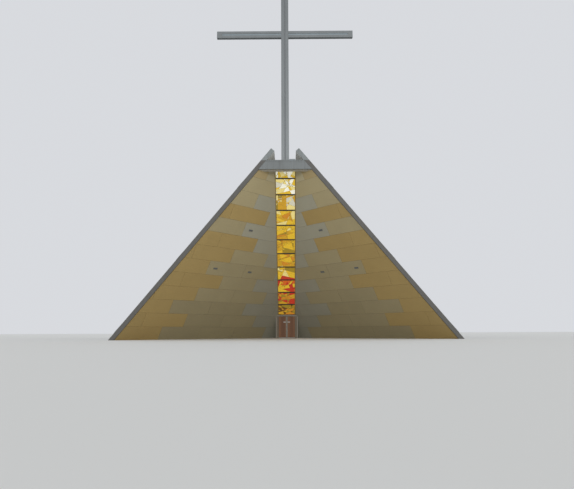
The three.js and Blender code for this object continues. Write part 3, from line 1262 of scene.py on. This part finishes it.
@dataclass
class CrossMember:
    """A box member of the cross, with a groove in its front and back that stops short of its free ends.

    An end is not free where it is near the building's middle line, as the inner ends of the arms are.
    """

    node: str
    across: Vector
    along: Vector
    groove: float
    strip_finish: Finish
    depth: float = 0.035
    end: float = 0.42
    near: float = 1.0
    cladding: float = 0.015
    edge: float = 0.012
    loose: float = 0.001

    def build(self) -> None:
        """Builds the member and sinks its groove."""
        low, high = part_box(self.node)
        middle, half = (low + high) / 2, self.groove / 2
        low, high = low - self.across * self.cladding, high + self.across * self.cladding
        part = Part(self.node.replace("cross_", "cross_metal_"), low, high)
        part.split([middle + self.across * offset for offset in (-half, half)], self.across)
        ends = [corner.dot(self.along) for corner in (low, high)]
        for number, shift in enumerate((self.end, -self.end)):
            if abs(ends[number]) > self.near:
                ends[number] += shift
                part.split([self.along * ends[number]], self.along)

        def strip(point: Vector, normal: Vector) -> bool:
            """Tells whether a face lies in the groove's outline on the front or back."""
            inside = abs((point - middle).dot(self.across)) < half + self.loose
            return inside and abs(normal.y) > FLAT and ends[0] < point.dot(self.along) < ends[1]

        for way in (-REAR, REAR):
            part.sink(lambda spot, normal: normal.dot(way) > FLAT and strip(spot, normal), way * -self.depth)
        part.coat(Finish.CROSS, self.strip_finish, pick=strip).soften(self.edge)
        part.fix("grey_metal", replaces=[self.node])


@dataclass
class Cross:
    """The ridge cross, with a pale strip set into the arms' faces, and in the post's groove a slightly darker,
    duller finish that is painted shade.
    """

    post_groove: float = 0.08
    arm_groove: float = 0.15

    def build(self) -> None:
        """Builds the post and both arms."""
        # The post's groove finish is painted shade; the arms' pale strip is an inlay.
        CrossMember("cross_post", RIGHT, UP, self.post_groove, Finish.POST_GROOVE).build()
        for name in SIDES:
            CrossMember(f"cross_arm_{name}", UP, RIGHT, self.arm_groove, Finish.ARM_INLAY).build()


@dataclass
class DoorFrame:
    """The thin metal frame of the doorway, and the panels between it and the leaves."""

    tube: float = 0.055
    tube_edge: float = 0.01
    set_back: float = 0.025
    panel_edge: float = 0.006
    head_edge: float = 0.004

    def build(self) -> None:
        """Builds the frame and the panels."""
        low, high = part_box("door_jamb_right")
        foot, head = (corner.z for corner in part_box("door_lintel"))
        outer, inner, top, face = high.x, high.x - self.tube, head - self.tube, low.y + self.set_back
        posts, fills = [], []
        for side in SIDES.values():
            post = Part("door_outer_frame", (side * outer, low.y, 0), (side * inner, high.y, head))
            posts.append(post.soften(self.tube_edge))
            fill = Part("door_side_panels", (side * inner, face, 0), (side * low.x, high.y, foot))
            fills.append(fill.soften(self.panel_edge))
        posts.append(Part("beam", (-inner, low.y, top), (inner, high.y, head)).soften(self.tube_edge))
        fills.append(Part("fill", (-inner, face, foot), (inner, high.y, top)).soften(self.head_edge))
        nodes = both("door_jamb_*") + ["door_lintel"]
        posts[0].join(posts[1:]).coat(Finish.DOOR_FRAME).fix("grey_metal", replaces=nodes)
        fills[0].join(fills[1:]).coat(Finish.SIDE_PANEL).fix("concrete")


@dataclass
class DoorLeaf(Sided):
    """A boarded leaf with its metal strip and bar."""

    boards: int = 6
    groove: float = 0.006
    edge_tone: float = 1.2
    fittings: tuple[tuple[str, Finish], ...] = (("strip", Finish.DOOR_STRIP), ("bar", Finish.DOOR_BAR))
    fitting_edge: float = 0.004

    def build(self) -> None:
        """Builds the leaf, its strip and its bar."""
        node, body, last = f"door_leaf_{self.name}", f"{self.name}_door", self.boards - 1
        low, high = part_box(node)
        width = (high.x - low.x) / self.boards
        part = Part(f"door_boards_{self.name}", low, high).divide(RIGHT * low.x, RIGHT, width, last)
        part.sink(facing(-REAR), REAR * self.groove).inset(facing(-REAR), self.groove, self.groove)
        tones = [random.Random(f"{self.name} board {number}").random() for number in range(self.boards)]
        tones[0 if self.side < 0 else last] = self.edge_tone
        part.label("board", lambda middle, _: tones[min(int((middle.x - low.x) / width), last)])
        part.coat(Finish.TIMBER).fix("door_wood", body, [node])
        for fitting, finish in self.fittings:
            node = f"door_{fitting}_{self.name}"
            piece = Part(f"door_{fitting}_metal_{self.name}", *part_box(node)).soften(self.fitting_edge)
            piece.coat(finish).fix("grey_metal", body, [node])


@dataclass
class Structure:
    """Carried-over solids and their finishes."""

    plan: tuple[tuple[Finish, list[str]], ...] = (
        (Finish.ROOFING, both("roof_*")),
        (Finish.PALE_BOARD, ["ridge_deck"]),
        (Finish.PLASTER, both("front_wall_*_lower", "front_wall_*_upper", "rear_wall_*", "portal_cheek_*")),
        (Finish.PLASTER, ["portal_head"]),
        (Finish.STILE, both("strip_stile_*")),
        (Finish.DARK, both("rear_stile_*", "door_hinge_*") + ["strip_head_rail"]),
        (Finish.DOOR_FRAME, ["strip_sill_rail"]),
        (Finish.CONCRETE, ["threshold"]),
        (Finish.SCREED, both("floor_*")),
    )

    def build(self) -> None:
        """Dresses every node that stays in view and reports any that is left plain."""
        left = set(frame["nodes"]) - {name for obj in bpy.data.objects for name in obj.get("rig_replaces", [])}
        for finish, nodes in self.plan:
            for node in nodes:
                mesh = frame["nodes"][node].data
                mesh.materials.clear()
                mesh.materials.append(finish.material)
                left.discard(node)
        LOG.info("nodes without a finish of their own: %s", sorted(left))


@dataclass
class Studio:
    """Camera at the photograph's place, pale floor and soft light."""

    focal: float = 30.346
    sensor: float = 36.0
    sight: float = 1000.0
    place: Triple = (0.304, -49.29, 0.5225)
    heading: float = -0.00518
    tilt: float = 0.180014
    roll: float = -0.004256
    floor_size: float = 900.0
    floor_level: float = -0.002
    floor_colour: Colour = paint("E2E2DE")
    floor_roughness: float = 0.9
    sky: Colour = (0.86, 0.88, 0.92, 1.0)
    sky_strength: float = 0.8
    lamp_colour: Triple = (1.0, 0.97, 0.93)
    lamps: tuple[tuple[str, Triple, float, float], ...] = (
        ("soft_key", (-0.02, 0.97, -0.1), 0.87, 10.0),
        ("soft_side", (-0.8, 0.6, -0.1), 0.36, 80.0),
    )

    def camera(self) -> None:
        """Sets the camera up."""
        data = bpy.data.cameras.new("photo_camera")
        data.lens, data.sensor_width, data.clip_end = self.focal, self.sensor, self.sight
        camera = bpy.data.objects.new("photo_camera", data)
        bpy.context.scene.collection.objects.link(camera)
        matrix = Matrix.Translation(Vector(self.place) + REAR * LAYOUT.shift)
        for angle, axis in ((-self.heading, "Z"), (math.pi / 2 + self.tilt, "X"), (self.roll, "Z")):
            matrix @= Matrix.Rotation(angle, 4, axis)
        camera.matrix_world = matrix
        bpy.context.scene.camera = camera

    def stage(self) -> None:
        """Lays the floor and sets the lights."""
        Part.deselect()
        bpy.ops.mesh.primitive_plane_add(size=self.floor_size, location=(0, 0, self.floor_level))
        floor = bpy.context.object
        floor.name = "studio_floor"
        look = ShaderGraph("studio_floor").surface(self.floor_colour, self.floor_roughness)
        floor.data.materials.append(look)
        world = bpy.data.worlds.new("studio")
        world.use_nodes = True
        sky = world.node_tree.nodes["Background"].inputs
        sky["Color"].default_value, sky["Strength"].default_value = self.sky, self.sky_strength
        bpy.context.scene.world = world
        for name, towards, energy, spread in self.lamps:
            light = bpy.data.lights.new(name, "SUN")
            light.energy, light.angle, light.color = energy, math.radians(spread), self.lamp_colour
            holder = bpy.data.objects.new(name, light)
            bpy.context.scene.collection.objects.link(holder)
            holder.matrix_world = Vector(towards).to_track_quat("-Z", "Y").to_matrix().to_4x4()
        bpy.context.scene.view_settings.view_transform = "Standard"


def main() -> None:
    """Builds the studio, then the building. What has a left and a right one is built once for each."""
    studio = Studio()
    studio.camera()
    studio.stage()
    kinds = (FrontWall, GlazedStrip, DoorFrame, DoorLeaf, RidgeEnds, Cross, RoofSlope, RearGable, Structure)
    for kind in kinds:
        LOG.info("building %s", kind.__name__)
        for place in SIDES.items() if issubclass(kind, Sided) else [()]:
            kind(*place).build()


if __name__ == "__main__":
    main()
